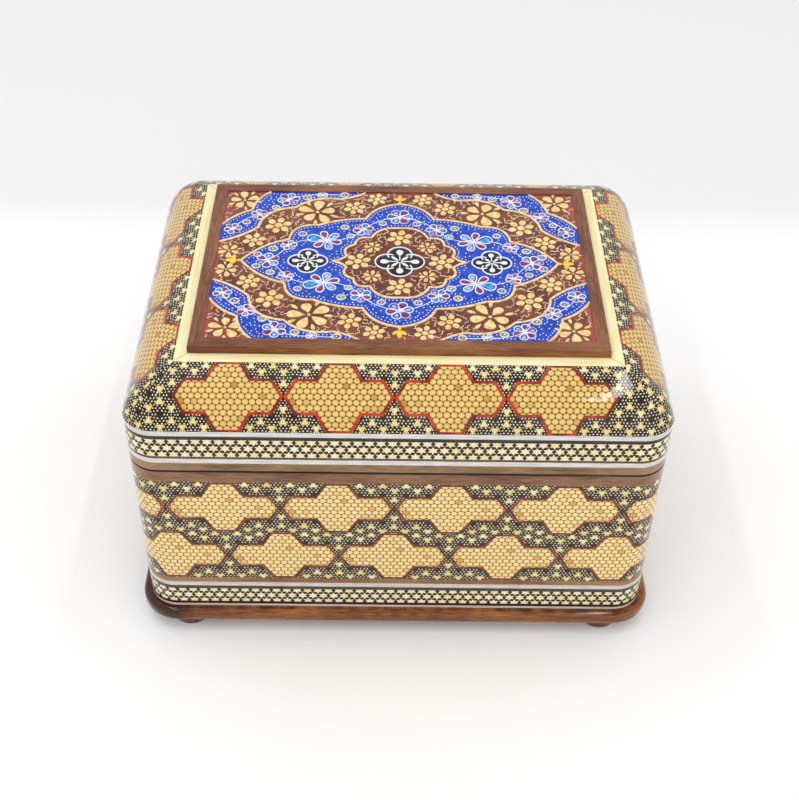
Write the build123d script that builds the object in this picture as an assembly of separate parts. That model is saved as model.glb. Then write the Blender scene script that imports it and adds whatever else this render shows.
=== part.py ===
from build123d import *
import math
import os

# A wooden jewelry box covered with marquetry, on a low plinth with four feet.
# Millimetres, +Z up, front towards -Y, origin on the floor under the middle of the box.

# Lid and body outlines
lid_width = 180.0
lid_depth = 138.0
lid_corner_radius = 11.0
lid_overhang = 0.1
plinth_overhang = 3.1

# Thicknesses
veneer_thickness = 1.8
wall_thickness = 7.0
lining_thickness = 1.2
bottom_board_thickness = 4.0
floor_pad_thickness = 2.5
lid_pad_thickness = 2.5

# Heights of the stack, from the floor up
foot_height = 5.1
plinth_thickness = 5.7
lower_white_line_lower_height = 1.15
lower_black_line_lower_height = 1.35
lower_star_band_height = 6.9
lower_black_line_upper_height = 1.65
lower_white_line_upper_height = 2.05
lower_wood_strip_height = 2.5
body_khatam_height = 48.3
body_rim_strip_height = 4.9
parting_gap = 0.3
lid_wood_strip_height = 3.8
lid_white_line_lower_height = 1.95
lid_black_line_lower_height = 1.0
lid_star_band_height = 7.6
lid_black_line_upper_height = 1.5
lid_white_line_upper_height = 2.05

# The curved shoulder of the lid, between its rim and its flat top
shoulder_width = 17.1
shoulder_height = 14.9
shoulder_turn = 56.0
shoulder_top_corner_radius = 1.4
shoulder_sections = 8

# The flat top: a pale border, a raised frame and the painted panel inside it
border_width = 4.15
border_thickness = 2.0
frame_width = 4.5
frame_rise = 3.0
frame_edge_radius = 0.5
panel_recess = 0.5

# Feet
foot_radius = 7.6
foot_sole_radius = 7.0
foot_fullness = 0.85
foot_setback_x = 14.3
foot_setback_y = 10.1

# Softened edges
rim_edge_radius = 0.5
plinth_edge_radius = 2.1

# Hinges, two small brass butts at the back
hinge_length = 24.0
hinge_setback = 41.4
hinge_inset = 2.5
stop_bevel_angle = 50.0
knuckle_radius = 1.5
knuckle_gap = 0.2
knuckle_clearance = 0.3
pin_radius = 0.7
pin_clearance = 0.05
leaf_thickness = 1.0
leaf_width = 6.0
screw_spacing = 15.0
screw_offset = 3.9
screw_shank_radius = 0.7
screw_head_radius = 1.4
screw_length = 6.0
screw_slot_width = 0.4
screw_slot_depth = 0.35
screw_slot_turn = 30.0
screw_hole_clearance = 0.05

# Sizes that follow
lid_x = lid_width / 2
lid_y = lid_depth / 2
body_x = lid_x - lid_overhang
body_y = lid_y - lid_overhang
body_corner_radius = lid_corner_radius - lid_overhang
plinth_x = body_x + plinth_overhang
plinth_y = body_y + plinth_overhang
plinth_corner_radius = body_corner_radius + plinth_overhang
inner_x = body_x - veneer_thickness - wall_thickness
inner_y = body_y - veneer_thickness - wall_thickness
border_x = lid_x - shoulder_width
border_y = lid_y - shoulder_width
frame_x = border_x - border_width
frame_y = border_y - border_width
panel_x = frame_x - frame_width
panel_y = frame_y - frame_width
mitre_reach = 2 * lid_corner_radius + plinth_overhang
lining_setback = 2 * lining_thickness

# How far a cutting solid reaches past what it cuts
cut_margin = 1.0

# Levels that follow
plinth_bottom_z = foot_height
plinth_top_z = plinth_bottom_z + plinth_thickness
body_strips = [
    ("lower_white_line_lower", lower_white_line_lower_height),
    ("lower_black_line_lower", lower_black_line_lower_height),
    ("lower_star_band", lower_star_band_height),
    ("lower_black_line_upper", lower_black_line_upper_height),
    ("lower_white_line_upper", lower_white_line_upper_height),
    ("lower_wood_strip", lower_wood_strip_height),
]
khatam_bottom_z = plinth_top_z + sum(height for name, height in body_strips)
khatam_top_z = khatam_bottom_z + body_khatam_height
body_top_z = khatam_top_z + body_rim_strip_height
lid_bottom_z = body_top_z + parting_gap
lid_strips = [
    ("lid_wood_strip", lid_wood_strip_height),
    ("lid_white_line_lower", lid_white_line_lower_height),
    ("lid_black_line_lower", lid_black_line_lower_height),
    ("lid_star_band", lid_star_band_height),
    ("lid_black_line_upper", lid_black_line_upper_height),
    ("lid_white_line_upper", lid_white_line_upper_height),
]
rim_top_z = lid_bottom_z + sum(height for name, height in lid_strips)
border_top_z = rim_top_z + shoulder_height
board_top_z = border_top_z - border_thickness
frame_top_z = border_top_z + frame_rise
panel_top_z = frame_top_z - panel_recess
hinge_y = body_y - hinge_inset
hinge_z = body_top_z + parting_gap / 2
floor_z = plinth_top_z + bottom_board_thickness

SIDES = ("front", "back", "left", "right")

os.makedirs("parts", exist_ok=True)


def write(name, *solids):
    """Saves one named piece, or a group of like pieces, as a STEP file."""
    shape = solids[0] if len(solids) == 1 else Compound(children=list(solids))
    export_step(shape, f"parts/{name}.step")


def block(x0, x1, y0, y1, z0, z1):
    """A plain rectangular solid between two corners."""
    size = (x1 - x0, y1 - y0, z1 - z0)
    middle = ((x0 + x1) / 2, (y0 + y1) / 2, (z0 + z1) / 2)
    return Pos(*middle) * Box(*size)


def outline(half_x, half_y, radius, z):
    """A flat rectangle with rounded corners at height z."""
    return Pos(0, 0, z) * RectangleRounded(2 * half_x, 2 * half_y, radius)


def slab(half_x, half_y, radius, z0, z1):
    """A prism on a rectangle with rounded corners."""
    return extrude(outline(half_x, half_y, radius, z0), z1 - z0)


def side_sector(side, z0, z1):
    """The mitred quarter of the plan that belongs to one side of the box."""
    reach = mitre_reach
    corner_x, corner_y = inner_x, inner_y
    tip = corner_y
    if side in ("front", "back"):
        sign = -1 if side == "front" else 1
        points = [
            (-corner_x - reach, sign * (corner_y + reach)),
            (corner_x + reach, sign * (corner_y + reach)),
            (corner_x - tip, 0),
            (-corner_x + tip, 0),
        ]
    else:
        sign = -1 if side == "left" else 1
        points = [
            (sign * (corner_x + reach), -corner_y - reach),
            (sign * (corner_x + reach), corner_y + reach),
            (sign * (corner_x - tip), 0),
        ]
    return extrude(Pos(0, 0, z0) * make_face(Polyline(*points, close=True)), z1 - z0)


def strip_ring(half_x, half_y, radius, z0, z1, edge=None):
    """One strip that runs round the box in the thickness of the veneer."""
    outer = slab(half_x, half_y, radius, z0, z1)
    if edge == "top":
        outer = fillet(outer.edges().group_by(Axis.Z)[-1], rim_edge_radius)
    if edge == "bottom":
        outer = fillet(outer.edges().group_by(Axis.Z)[0], rim_edge_radius)
    core_x, core_y = half_x - veneer_thickness, half_y - veneer_thickness
    return outer - slab(core_x, core_y, radius - veneer_thickness, z0, z1)


def hinge_centres():
    """The middles of the two hinges, each set in from its end of the box."""
    return (hinge_setback - body_x, body_x - hinge_setback)


def x_cylinder(radius, x_middle, length):
    """A cylinder along the hinge line."""
    return Pos(x_middle, hinge_y, hinge_z) * Rot(0, 90, 0) * Cylinder(radius, length)


def stop_wedge(upper):
    """What is planed off behind the hinge line, so that the open lid comes to rest on it."""
    sign = 1 if upper else -1
    level = lid_bottom_z if upper else body_top_z
    reach = hinge_inset + lid_overhang + cut_margin
    drop = reach * math.tan(math.radians(stop_bevel_angle))
    far_y = hinge_y + reach
    points = [(hinge_y, level), (far_y, level), (far_y, level + sign * drop)]
    profile = Plane.YZ * make_face(Polyline(*points, close=True))
    return Pos(-lid_width, 0, 0) * extrude(profile, 2 * lid_width)


def knuckle_recesses():
    """Room for both hinge knuckles in the edges of the wood."""
    radius = knuckle_radius + knuckle_clearance
    length = hinge_length + 2 * knuckle_clearance
    return [x_cylinder(radius, x, length) for x in hinge_centres()]


def leaf_recess(x, upper):
    """The mortise for one hinge leaf."""
    half = hinge_length / 2
    z0 = lid_bottom_z if upper else body_top_z - leaf_thickness
    return block(x - half, x + half, hinge_y - leaf_width, hinge_y, z0, z0 + leaf_thickness)


def screw_places(x):
    return [x - screw_spacing / 2, x + screw_spacing / 2]


def screw_shape(x, upper, clearance=0.0):
    """A countersunk screw, its head flush with the open face of its leaf."""
    shank = screw_shank_radius + clearance
    head = screw_head_radius + clearance
    cone = Pos(0, 0, -leaf_thickness / 2) * Cone(shank, head, leaf_thickness)
    middle = -leaf_thickness - (screw_length - leaf_thickness) / 2
    length = screw_length - leaf_thickness
    body = cone + Pos(0, 0, middle) * Cylinder(shank, length)
    if clearance == 0.0:
        slot_length = 2 * (head + cut_margin)
        slot = Box(slot_length, screw_slot_width, 2 * screw_slot_depth)
        body = body - Rot(0, 0, screw_slot_turn) * slot
    level = lid_bottom_z if upper else body_top_z
    turn = Rot(180, 0, 0) if upper else Rot(0, 0, 0)
    return Pos(x, hinge_y - screw_offset, level) * turn * body


def screws(upper, clearance=0.0):
    places = [sx for x in hinge_centres() for sx in screw_places(x)]
    return [screw_shape(sx, upper, clearance) for sx in places]


def cut_for_hinges(solid, upper):
    """Planes the stop bevel and lets the hinges and screws into a back piece."""
    solid = solid - stop_wedge(upper)
    for recess in knuckle_recesses():
        solid = solid - recess
    for x in hinge_centres():
        solid = solid - leaf_recess(x, upper)
    for hole in screws(upper, screw_hole_clearance):
        solid = solid - hole
    return solid


def hinge_leaf(x, upper):
    """One leaf with its knuckles: two outer ones on the body, the middle one on the lid."""
    third = hinge_length / 3
    z0 = lid_bottom_z if upper else body_top_z - leaf_thickness
    z1 = z0 + leaf_thickness
    half = hinge_length / 2
    near_y = hinge_y - knuckle_radius - knuckle_clearance
    leaf = block(x - half, x + half, hinge_y - leaf_width, near_y, z0, z1)
    centres = [x] if upper else [x - third, x + third]
    length = third - knuckle_gap
    for centre in centres:
        web = block(centre - length / 2, centre + length / 2, near_y, hinge_y, z0, z1)
        leaf = leaf + web + x_cylinder(knuckle_radius, centre, length)
    leaf = leaf - x_cylinder(pin_radius + pin_clearance, x, hinge_length)
    for place in screw_places(x):
        leaf = leaf - screw_shape(place, upper, screw_hole_clearance)
    return leaf


def shoulder_arc():
    """Radius, first angle and centre of the arc that makes the shoulder."""
    chord = math.hypot(shoulder_width, shoulder_height)
    radius = chord / (2 * math.sin(math.radians(shoulder_turn / 2)))
    chord_angle = math.degrees(math.atan2(shoulder_height, shoulder_width))
    start = 90 - chord_angle - shoulder_turn / 2
    centre_in = radius * math.cos(math.radians(start))
    centre_down = radius * math.sin(math.radians(start))
    return radius, start, centre_in, centre_down


def dome(inset):
    """The lid's shoulder as a solid, up to its flat top, pushed inwards by inset."""
    radius, start, centre_in, centre_down = shoulder_arc()
    inner = radius - inset
    low = math.degrees(math.asin(centre_down / inner))
    high = start + shoulder_turn
    sections = []
    for step in range(shoulder_sections + 1):
        share = step / shoulder_sections
        angle = math.radians(low + (high - low) * share)
        pulled_in = centre_in - inner * math.cos(angle)
        z = rim_top_z - centre_down + inner * math.sin(angle)
        corner = lid_corner_radius + (shoulder_top_corner_radius - lid_corner_radius) * share
        corner = max(corner - inset * (1 - share), shoulder_top_corner_radius / 2)
        sections.append(outline(lid_x - pulled_in, lid_y - pulled_in, corner, z))
    return loft(sections)


def make_plinth_and_feet():
    board = slab(plinth_x, plinth_y, plinth_corner_radius, plinth_bottom_z, plinth_top_z)
    rims = board.edges().group_by(Axis.Z)[0] + board.edges().group_by(Axis.Z)[-1]
    write("plinth_board", fillet(rims, plinth_edge_radius))
    bulge = foot_sole_radius + foot_fullness * (foot_radius - foot_sole_radius)
    with BuildSketch(Plane.XZ) as half:
        with BuildLine():
            Line((0, 0), (foot_sole_radius, 0))
            ThreePointArc((foot_sole_radius, 0), (bulge, foot_height / 2), (foot_radius, foot_height))
            Line((foot_radius, foot_height), (0, foot_height))
            Line((0, foot_height), (0, 0))
        make_face()
    foot = revolve(half.sketch, Axis.Z)
    across, along = body_x - foot_setback_x, plinth_y - foot_setback_y
    for row, y in (("front", -along), ("back", along)):
        for side, x in (("left", -across), ("right", across)):
            write(f"foot_{row}_{side}", Pos(x, y, 0) * foot)


def make_body_case():
    write("bottom_board", block(-inner_x, inner_x, -inner_y, inner_y, plinth_top_z, floor_z))
    core_x, core_y = body_x - veneer_thickness, body_y - veneer_thickness
    core = slab(core_x, core_y, body_corner_radius - veneer_thickness, plinth_top_z, body_top_z)
    core = core - block(-inner_x, inner_x, -inner_y, inner_y, plinth_top_z, body_top_z)
    cover = slab(body_x, body_y, body_corner_radius, khatam_bottom_z, khatam_top_z)
    cover = cover - slab(
        core_x, core_y, body_corner_radius - veneer_thickness, khatam_bottom_z, khatam_top_z
    )
    for side in SIDES:
        wall = core & side_sector(side, plinth_top_z, body_top_z)
        if side == "back":
            wall = cut_for_hinges(wall, False)
        else:
            wall = wall - stop_wedge(False)
        write(f"{side}_wall", wall)
        write(f"{side}_khatam", cover & side_sector(side, khatam_bottom_z, khatam_top_z))
    z = plinth_top_z
    for name, height in body_strips:
        write(name, strip_ring(body_x, body_y, body_corner_radius, z, z + height))
        z += height
    rim = strip_ring(body_x, body_y, body_corner_radius, khatam_top_z, body_top_z, "top")
    rim = rim - stop_wedge(False)
    for recess in knuckle_recesses():
        rim = rim - recess
    write("body_rim_strip", rim)


def make_lining():
    pad_top = floor_z + floor_pad_thickness
    write("floor_pad", block(-inner_x, inner_x, -inner_y, inner_y, floor_z, pad_top))
    top = body_top_z - lining_setback
    clear_y = inner_y - lining_thickness
    clear_x = inner_x - lining_thickness
    write("front_lining", block(-inner_x, inner_x, -inner_y, -clear_y, pad_top, top))
    write("back_lining", block(-inner_x, inner_x, clear_y, inner_y, pad_top, top))
    write("left_lining", block(-inner_x, -clear_x, -clear_y, clear_y, pad_top, top))
    write("right_lining", block(clear_x, inner_x, -clear_y, clear_y, pad_top, top))
    pad_bottom = rim_top_z - lid_pad_thickness
    low = lid_bottom_z + lining_setback
    write("lid_lining_pad", block(-inner_x, inner_x, -inner_y, inner_y, pad_bottom, rim_top_z))
    ring = block(-inner_x, inner_x, -inner_y, inner_y, low, pad_bottom)
    write("lid_side_lining", ring - block(-clear_x, clear_x, -clear_y, clear_y, low, pad_bottom))


def make_lid_case():
    core_x, core_y = lid_x - veneer_thickness, lid_y - veneer_thickness
    core_corner = lid_corner_radius - veneer_thickness
    frame = slab(core_x, core_y, core_corner, lid_bottom_z, rim_top_z)
    frame = frame - block(-inner_x, inner_x, -inner_y, inner_y, lid_bottom_z, rim_top_z)
    core_dome = dome(veneer_thickness)
    above = block(-lid_x, lid_x, -lid_y, lid_y, board_top_z, border_top_z + cut_margin)
    write("lid_top_board", core_dome - above)
    above_border = border_top_z + cut_margin
    border_hole = block(-border_x, border_x, -border_y, border_y, board_top_z, above_border)
    shell = dome(0.0) - core_dome - border_hole
    for side in SIDES:
        rail = frame & side_sector(side, lid_bottom_z, rim_top_z)
        rail = cut_for_hinges(rail, True) if side == "back" else rail - stop_wedge(True)
        write(f"lid_{side}_rail", rail)
        sector = side_sector(side, rim_top_z - cut_margin, above_border)
        write(f"lid_{side}_khatam", shell & sector)
    z = lid_bottom_z
    for name, height in lid_strips:
        edge = "bottom" if name == "lid_wood_strip" else None
        strip = strip_ring(lid_x, lid_y, lid_corner_radius, z, z + height, edge)
        if name == "lid_wood_strip":
            strip = strip - stop_wedge(True)
            for recess in knuckle_recesses():
                strip = strip - recess
        write(name, strip)
        z += height


def make_lid_top():
    border = block(-border_x, border_x, -border_y, border_y, board_top_z, border_top_z)
    border = border - block(-frame_x, frame_x, -frame_y, frame_y, board_top_z, border_top_z)
    frame = block(-frame_x, frame_x, -frame_y, frame_y, board_top_z, frame_top_z)
    frame = fillet(frame.edges().group_by(Axis.Z)[-1], frame_edge_radius)
    frame = frame - block(-panel_x, panel_x, -panel_y, panel_y, board_top_z, frame_top_z)
    for side in SIDES:
        sector = side_sector(side, board_top_z - cut_margin, frame_top_z + cut_margin)
        write(f"{side}_border", border & sector)
        write(f"{side}_frame", frame & sector)
    write("painted_panel", block(-panel_x, panel_x, -panel_y, panel_y, board_top_z, panel_top_z))


def make_hinges():
    for side, x in zip(("left", "right"), hinge_centres()):
        write(f"{side}_hinge_body_leaf", hinge_leaf(x, False))
        write(f"{side}_hinge_lid_leaf", hinge_leaf(x, True))
        write(f"{side}_hinge_pin", x_cylinder(pin_radius, x, hinge_length - knuckle_gap))
    write("body_hinge_screws", *screws(False))
    write("lid_hinge_screws", *screws(True))


make_plinth_and_feet()
make_body_case()
make_lining()
make_lid_case()
make_lid_top()
make_hinges()
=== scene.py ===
import math
import random

import bmesh
import bpy
from mathutils import Matrix, Vector, noise


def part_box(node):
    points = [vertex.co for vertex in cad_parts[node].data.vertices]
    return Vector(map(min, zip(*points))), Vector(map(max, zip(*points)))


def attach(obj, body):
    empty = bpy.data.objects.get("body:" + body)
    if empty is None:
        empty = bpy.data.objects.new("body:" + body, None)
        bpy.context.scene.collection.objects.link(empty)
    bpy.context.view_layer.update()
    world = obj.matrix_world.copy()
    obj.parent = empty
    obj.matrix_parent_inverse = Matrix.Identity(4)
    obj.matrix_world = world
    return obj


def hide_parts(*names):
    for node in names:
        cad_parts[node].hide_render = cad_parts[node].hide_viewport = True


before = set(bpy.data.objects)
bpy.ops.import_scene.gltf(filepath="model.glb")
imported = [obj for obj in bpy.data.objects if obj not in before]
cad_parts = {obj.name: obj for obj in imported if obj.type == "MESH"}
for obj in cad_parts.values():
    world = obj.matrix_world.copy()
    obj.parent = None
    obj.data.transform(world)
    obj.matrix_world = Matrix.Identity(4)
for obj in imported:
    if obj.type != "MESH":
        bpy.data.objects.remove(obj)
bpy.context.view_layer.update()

# A marquetry jewelry box on a small plinth. Lengths are in millimetres unless a name says otherwise.
MM = 0.001
ROOT3 = math.sqrt(3)
COS30 = ROOT3 / 2

# Sides of the box and their pairs, quarters of its plan, and the rays that show the background
SIDES = ("front", "back", "left", "right")
PAIRS = {"long": SIDES[:2], "short": SIDES[2:]}
QUARTERS = ((1, 1), (-1, 1), (-1, -1), (1, -1))
BACKGROUND_RAYS = ("Camera", "Glossy", "Transmission")

# The photograph's camera
photo_height = 800
focal_pixels = 1312.8
sensor_mm = 36.0
camera_place = (-3.0, -373.1, 387.6)
camera_yaw = math.radians(0.58)
camera_pitch = math.radians(42.13)
camera_roll = math.radians(1.03)

# Light from all round, and the floor's own towards the camera
ambient_strength = 0.82
floor_glow = 0.06

# Corners of the box in plan
body_radius = 10.9
lid_radius = 11.0
plinth_radius = 14.0

# The lid's curved shoulder
shoulder_width = 17.1
shoulder_height = 14.9
shoulder_turn = math.radians(56.0)
shoulder_top_radius = 1.4

# Marquetry of the body: two staggered rows of medallions, sixteen to a turn of the box
body_medallions = 16
body_pattern_shift = 1.0
body_cell = 2.35
body_line = 1.0

# Marquetry of the lid's long and short shoulders: pitch, count and shift of the medallions
lid_rows = {"long": (35.7, 4, 1.3), "short": (37.6, 3, -0.8)}
lid_cell = 2.3
lid_line = 1.05

# Outline of a medallion, from its middle
bar_half_height = 6.0
block_half_height = 12.0
block_shoulder = 7.4

# Velvet pads
pad_steps = 48
pad_roll = 1.6
pad_crown = 1.0
pad_ripple = 0.25
pad_ripple_scale = 60.0

# The starry ground has this many of its finest steps to a medallion
ground_steps = 30

# Its triangles, in steps: small ones keep clear of a big one's middle and edge
big_triangle = 0.68
small_triangle = 0.14
clear_middle = 0.78
clear_edge = 0.1

# Small ones are drawn in towards a big one by this share, which fades between two distances
ring_pull = 0.17
ring_fade = (1.15, 1.7)

# Where a cell's shading and its dark rim start and end, in shares of the pitch
cell_shading = (0.3, 0.48)
cell_rim = (0.41, 0.53)
shading_strength = 0.6

# The higher this is, the fewer cells are of the warm wood
warm_rarity = 12.0

# Star bands: stars to a turn of the box, and the notch between two points of a star
band_stars = 165
notch_depth = 0.225
notch_slope = 0.4 * ROOT3

# Height of a star or a cell against that of a regular one
row_squeeze = 0.9

# The inlay wanders a little, as it is laid by hand
drift_reach = 0.9
drift_scale = 0.09
edge_softness = 0.06

# Refractive index of the lacquer, the gloss of what lies under it, and the depth of most bumps
lacquer_index = 1.33
gloss_under_lacquer = 0.1
bump_depth = 0.05

# Colours of the marquetry: its line in two tones, its ground, and its cells
body_colours = {
    "line": ("#4E2210", "#8A4024"), "ground": "#2C1E0C",
    "joint": "#4A3208", "pale": "#FCE09A", "warm": "#DA9F50",
}
lid_colours = {
    "line": ("#741606", "#BE3C10"), "ground": "#1E1406",
    "joint": "#301A04", "pale": "#EAC674", "warm": "#C4863A",
}
# Near-black for the painted shade at the lid's parting line and for the plinth's darker left end
darkening_colour = "#280C06"

# Steps of each arc in the painting's outlines
arc_steps = 9

# Colours of the raised paint, each between two tones
paint_colours = {
    "blue": ("#0630A0", "#1054D2"),
    "maroon": ("#5A281E", "#7C3C2A"),
    "gold": ("#E8BC70", "#FFE2A4"),
    "cream": ("#F0C888", "#FFE8BE"),
    "white": ("#E8ECF4", "#FFFFFF"),
    "rose": ("#DC9C94", "#F6D8D0"),
    "red": ("#8E1A12", "#B5301E"),
    "sky": ("#1C8CC8", "#3FB4E6"),
    "pale_blue": ("#7FA8DE", "#B4CDF0"),
    "green": ("#3F7A22", "#78A83A"),
    "black": ("#08090C", "#15171C"),
    "yellow": ("#EFB92C", "#FBD95A"),
}


def shade(code):
    """Linear colour of a #rrggbb code, opaque."""
    parts = [int(code[i:i + 2], 16) / 255 for i in (1, 3, 5)]
    return [((c + 0.055) / 1.055) ** 2.4 if c > 0.04045 else c / 12.92 for c in parts] + [1.0]


class Field:
    """A value that varies over a surface. Arithmetic on it adds nodes to its tree."""

    def __init__(self, tree, socket):
        self.tree = tree
        self.socket = socket

    def math(self, operation, *others):
        """The result of one operation on this value and others."""
        node = self.tree.nodes.new("ShaderNodeMath")
        node.operation = operation
        for slot, value in zip(node.inputs, (self,) + others):
            feed(self.tree, slot, value)
        return Field(self.tree, node.outputs[0])

    def __add__(self, other):
        return self.math("ADD", other)

    def __sub__(self, other):
        return self.math("SUBTRACT", other)

    def __mul__(self, other):
        return self.math("MULTIPLY", other)

    def __truediv__(self, other):
        return self.math("DIVIDE", other)

    def __neg__(self):
        return self.math("MULTIPLY", -1.0)

    def __abs__(self):
        return self.math("ABSOLUTE")

    def over(self, other):
        """1 where this value is more than the other, else 0."""
        return self.math("GREATER_THAN", other)

    def sign(self):
        return self.math("SIGN")

    def round(self):
        return self.math("ROUND")

    def wrap(self, low, high):
        """Repeats from low to high."""
        return self.math("WRAP", high, low)

    def ramp(self, low, high, first=0.0, last=1.0):
        """Eases from first at low to last at high."""
        node = self.tree.nodes.new("ShaderNodeMapRange")
        node.interpolation_type = "SMOOTHSTEP"
        for slot, value in zip(node.inputs, (self, low, high, first, last)):
            feed(self.tree, slot, value)
        return Field(self.tree, node.outputs[0])

    def blend(self, low, high):
        """A colour: low where this value is 0, high where it is 1."""
        node = self.tree.nodes.new("ShaderNodeMix")
        node.data_type = "RGBA"
        feed(self.tree, node.inputs["Factor"], self)
        feed(self.tree, node.inputs[6], low)
        feed(self.tree, node.inputs[7], high)
        return Field(self.tree, node.outputs[2])


def feed(tree, slot, value):
    """Links a field to a node's input, or sets the input to a number or to the colour of a code."""
    if isinstance(value, Field):
        tree.links.new(value.socket, slot)
    elif isinstance(value, str):
        slot.default_value = shade(value)
    else:
        slot.default_value = value


def least(a, b):
    """The smaller of two values."""
    return a.math("MINIMUM", b)


def most(a, b):
    """The larger of two values."""
    return a.math("MAXIMUM", b)


class Finish:
    """A node material. Its place, and x, y and z, are millimetres on the piece."""

    def __init__(self, name, roughness=0.4, coat=0.0, coat_roughness=0.05, metallic=0.0):
        self.material = bpy.data.materials.new(name)
        self.material.use_nodes = True
        self.tree = self.material.node_tree
        self.shader = self.tree.nodes["Principled BSDF"]
        self.set("Roughness", roughness)
        self.set("Coat Weight", coat)
        self.set("Coat Roughness", coat_roughness)
        self.set("Metallic", metallic)
        if coat:
            self.set("Specular IOR Level", gloss_under_lacquer)
            self.set("Coat IOR", lacquer_index)
        scale = self.tree.nodes.new("ShaderNodeVectorMath")
        scale.operation = "SCALE"
        scale.inputs["Scale"].default_value = 1 / MM
        place = self.tree.nodes.new("ShaderNodeTexCoord").outputs["Object"]
        self.tree.links.new(place, scale.inputs[0])
        apart = self.tree.nodes.new("ShaderNodeSeparateXYZ")
        self.tree.links.new(scale.outputs[0], apart.inputs[0])
        self.place = Field(self.tree, scale.outputs[0])
        self.x, self.y, self.z = (Field(self.tree, socket) for socket in apart.outputs)

    def set(self, socket, value):
        feed(self.tree, self.shader.inputs[socket], value)

    def vector(self, a, b, c=0.0):
        node = self.tree.nodes.new("ShaderNodeCombineXYZ")
        for slot, value in zip(node.inputs, (a, b, c)):
            feed(self.tree, slot, value)
        return Field(self.tree, node.outputs[0])

    def noise(self, scale, detail=2.0, roughness=0.5, place=None):
        """Cloudy noise, about 0.3 to 0.7."""
        node = self.tree.nodes.new("ShaderNodeTexNoise")
        values = {"Vector": place or self.place, "Scale": scale, "Detail": detail, "Roughness": roughness}
        for name, value in values.items():
            feed(self.tree, node.inputs[name], value)
        return Field(self.tree, node.outputs["Fac"])

    def streaks(self, along, across, deep, squeeze, scale, detail, roughness=0.5):
        """Noise drawn out along the first coordinate, which is squeezed for it."""
        return self.noise(scale, detail, roughness, self.vector(along * squeeze, across, deep))

    def chance(self, a, b):
        """A random number from 0 to 1 for each pair of whole numbers."""
        node = self.tree.nodes.new("ShaderNodeTexWhiteNoise")
        node.noise_dimensions = "2D"
        feed(self.tree, node.inputs["Vector"], self.vector(a, b))
        return Field(self.tree, node.outputs["Value"])

    def bump(self, height, strength, distance=bump_depth, coat_too=False):
        """Makes the surface uneven, and the lacquer over it where coat_too is set."""
        node = self.tree.nodes.new("ShaderNodeBump")
        node.inputs["Strength"].default_value = strength
        node.inputs["Distance"].default_value = distance * MM
        feed(self.tree, node.inputs["Height"], height)
        self.tree.links.new(node.outputs[0], self.shader.inputs["Normal"])
        if coat_too:
            self.tree.links.new(node.outputs[0], self.shader.inputs["Coat Normal"])

    def wave(self):
        """Faint waves in the surface and in its lacquer."""
        self.bump(self.noise(0.12), 0.08, coat_too=True)


def half_extents(node):
    """Half the width and depth of a ring-shaped or central CAD node, in millimetres."""
    low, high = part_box(node)
    return (high[0] - low[0]) / 2 / MM, (high[1] - low[1]) / 2 / MM


# Middles of the rounded corners in plan, the same for the body, the lid and the plinth
body_half_x, body_half_y = half_extents("lower_star_band")
corner_x = body_half_x - body_radius
corner_y = body_half_y - body_radius


def quarter_length(radius):
    """Distance round a quarter of the box."""
    return corner_x + radius * math.pi / 2 + corner_y


def quarter_path(finish, radius):
    """Distance round the box from the middle of its front or back, the same in all four quarters."""
    over_x = most(abs(finish.x) - corner_x, 0.0)
    over_y = most(abs(finish.y) - corner_y, 0.0)
    turn = over_x.math("ARCTAN2", over_y)
    straight = least(abs(finish.x), corner_x)
    return straight + turn * radius + (least(abs(finish.y), corner_y) - corner_y) * -1.0


def whole_path(finish, radius):
    """Signed distance round the box from the middle of the front, to either side."""
    quarter = quarter_length(radius)
    path = quarter_path(finish, radius)
    along = (path - quarter) * (-finish.y.sign()) + quarter
    return along * finish.x.sign()


def honeycomb(u, v, pitch):
    """The nearest point of a triangular lattice: offsets from it, and its place in half steps."""
    rise = pitch * ROOT3
    near_u = u.wrap(-pitch / 2, pitch / 2)
    near_v = v.wrap(-rise / 2, rise / 2)
    far_u = (u + pitch / 2).wrap(-pitch / 2, pitch / 2)
    far_v = (v + rise / 2).wrap(-rise / 2, rise / 2)
    nearer = (far_u * far_u + far_v * far_v).over(near_u * near_u + near_v * near_v)
    du = far_u + (near_u - far_u) * nearer
    dv = far_v + (near_v - far_v) * nearer
    step_u = ((u - du) / (pitch / 2)).round()
    step_v = ((v - dv) / (rise / 2)).round()
    return du, dv, step_u, step_v


def length(a, b):
    """The length of a vector in the plane."""
    return (a * a + b * b).math("SQRT")


def triangle(du, dv, pointing, size):
    """Signed distance to a triangle, its tip up where pointing is 1 and down where it is -1."""
    rise = dv * pointing
    return most(-rise, rise * 0.5 + abs(du) * COS30) - size


def cells(finish, u, v, pitch, colours):
    """Round rods of pale wood packed as a honeycomb, with dark gaps where three meet."""
    du, dv, step_u, step_v = honeycomb(u, v / row_squeeze, pitch)
    radius = length(du, dv)
    rim_start, rim_end = cell_rim
    rim = radius.ramp(pitch * rim_start, pitch * rim_end)
    luck = finish.chance(step_u, step_v)
    shade_start, shade_end = cell_shading
    ring = radius.ramp(pitch * shade_start, pitch * shade_end, 0.0, shading_strength)
    wood = luck.math("POWER", warm_rarity).blend(colours["pale"], colours["warm"])
    return rim.blend(ring.blend(wood, colours["warm"]), colours["joint"])


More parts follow.
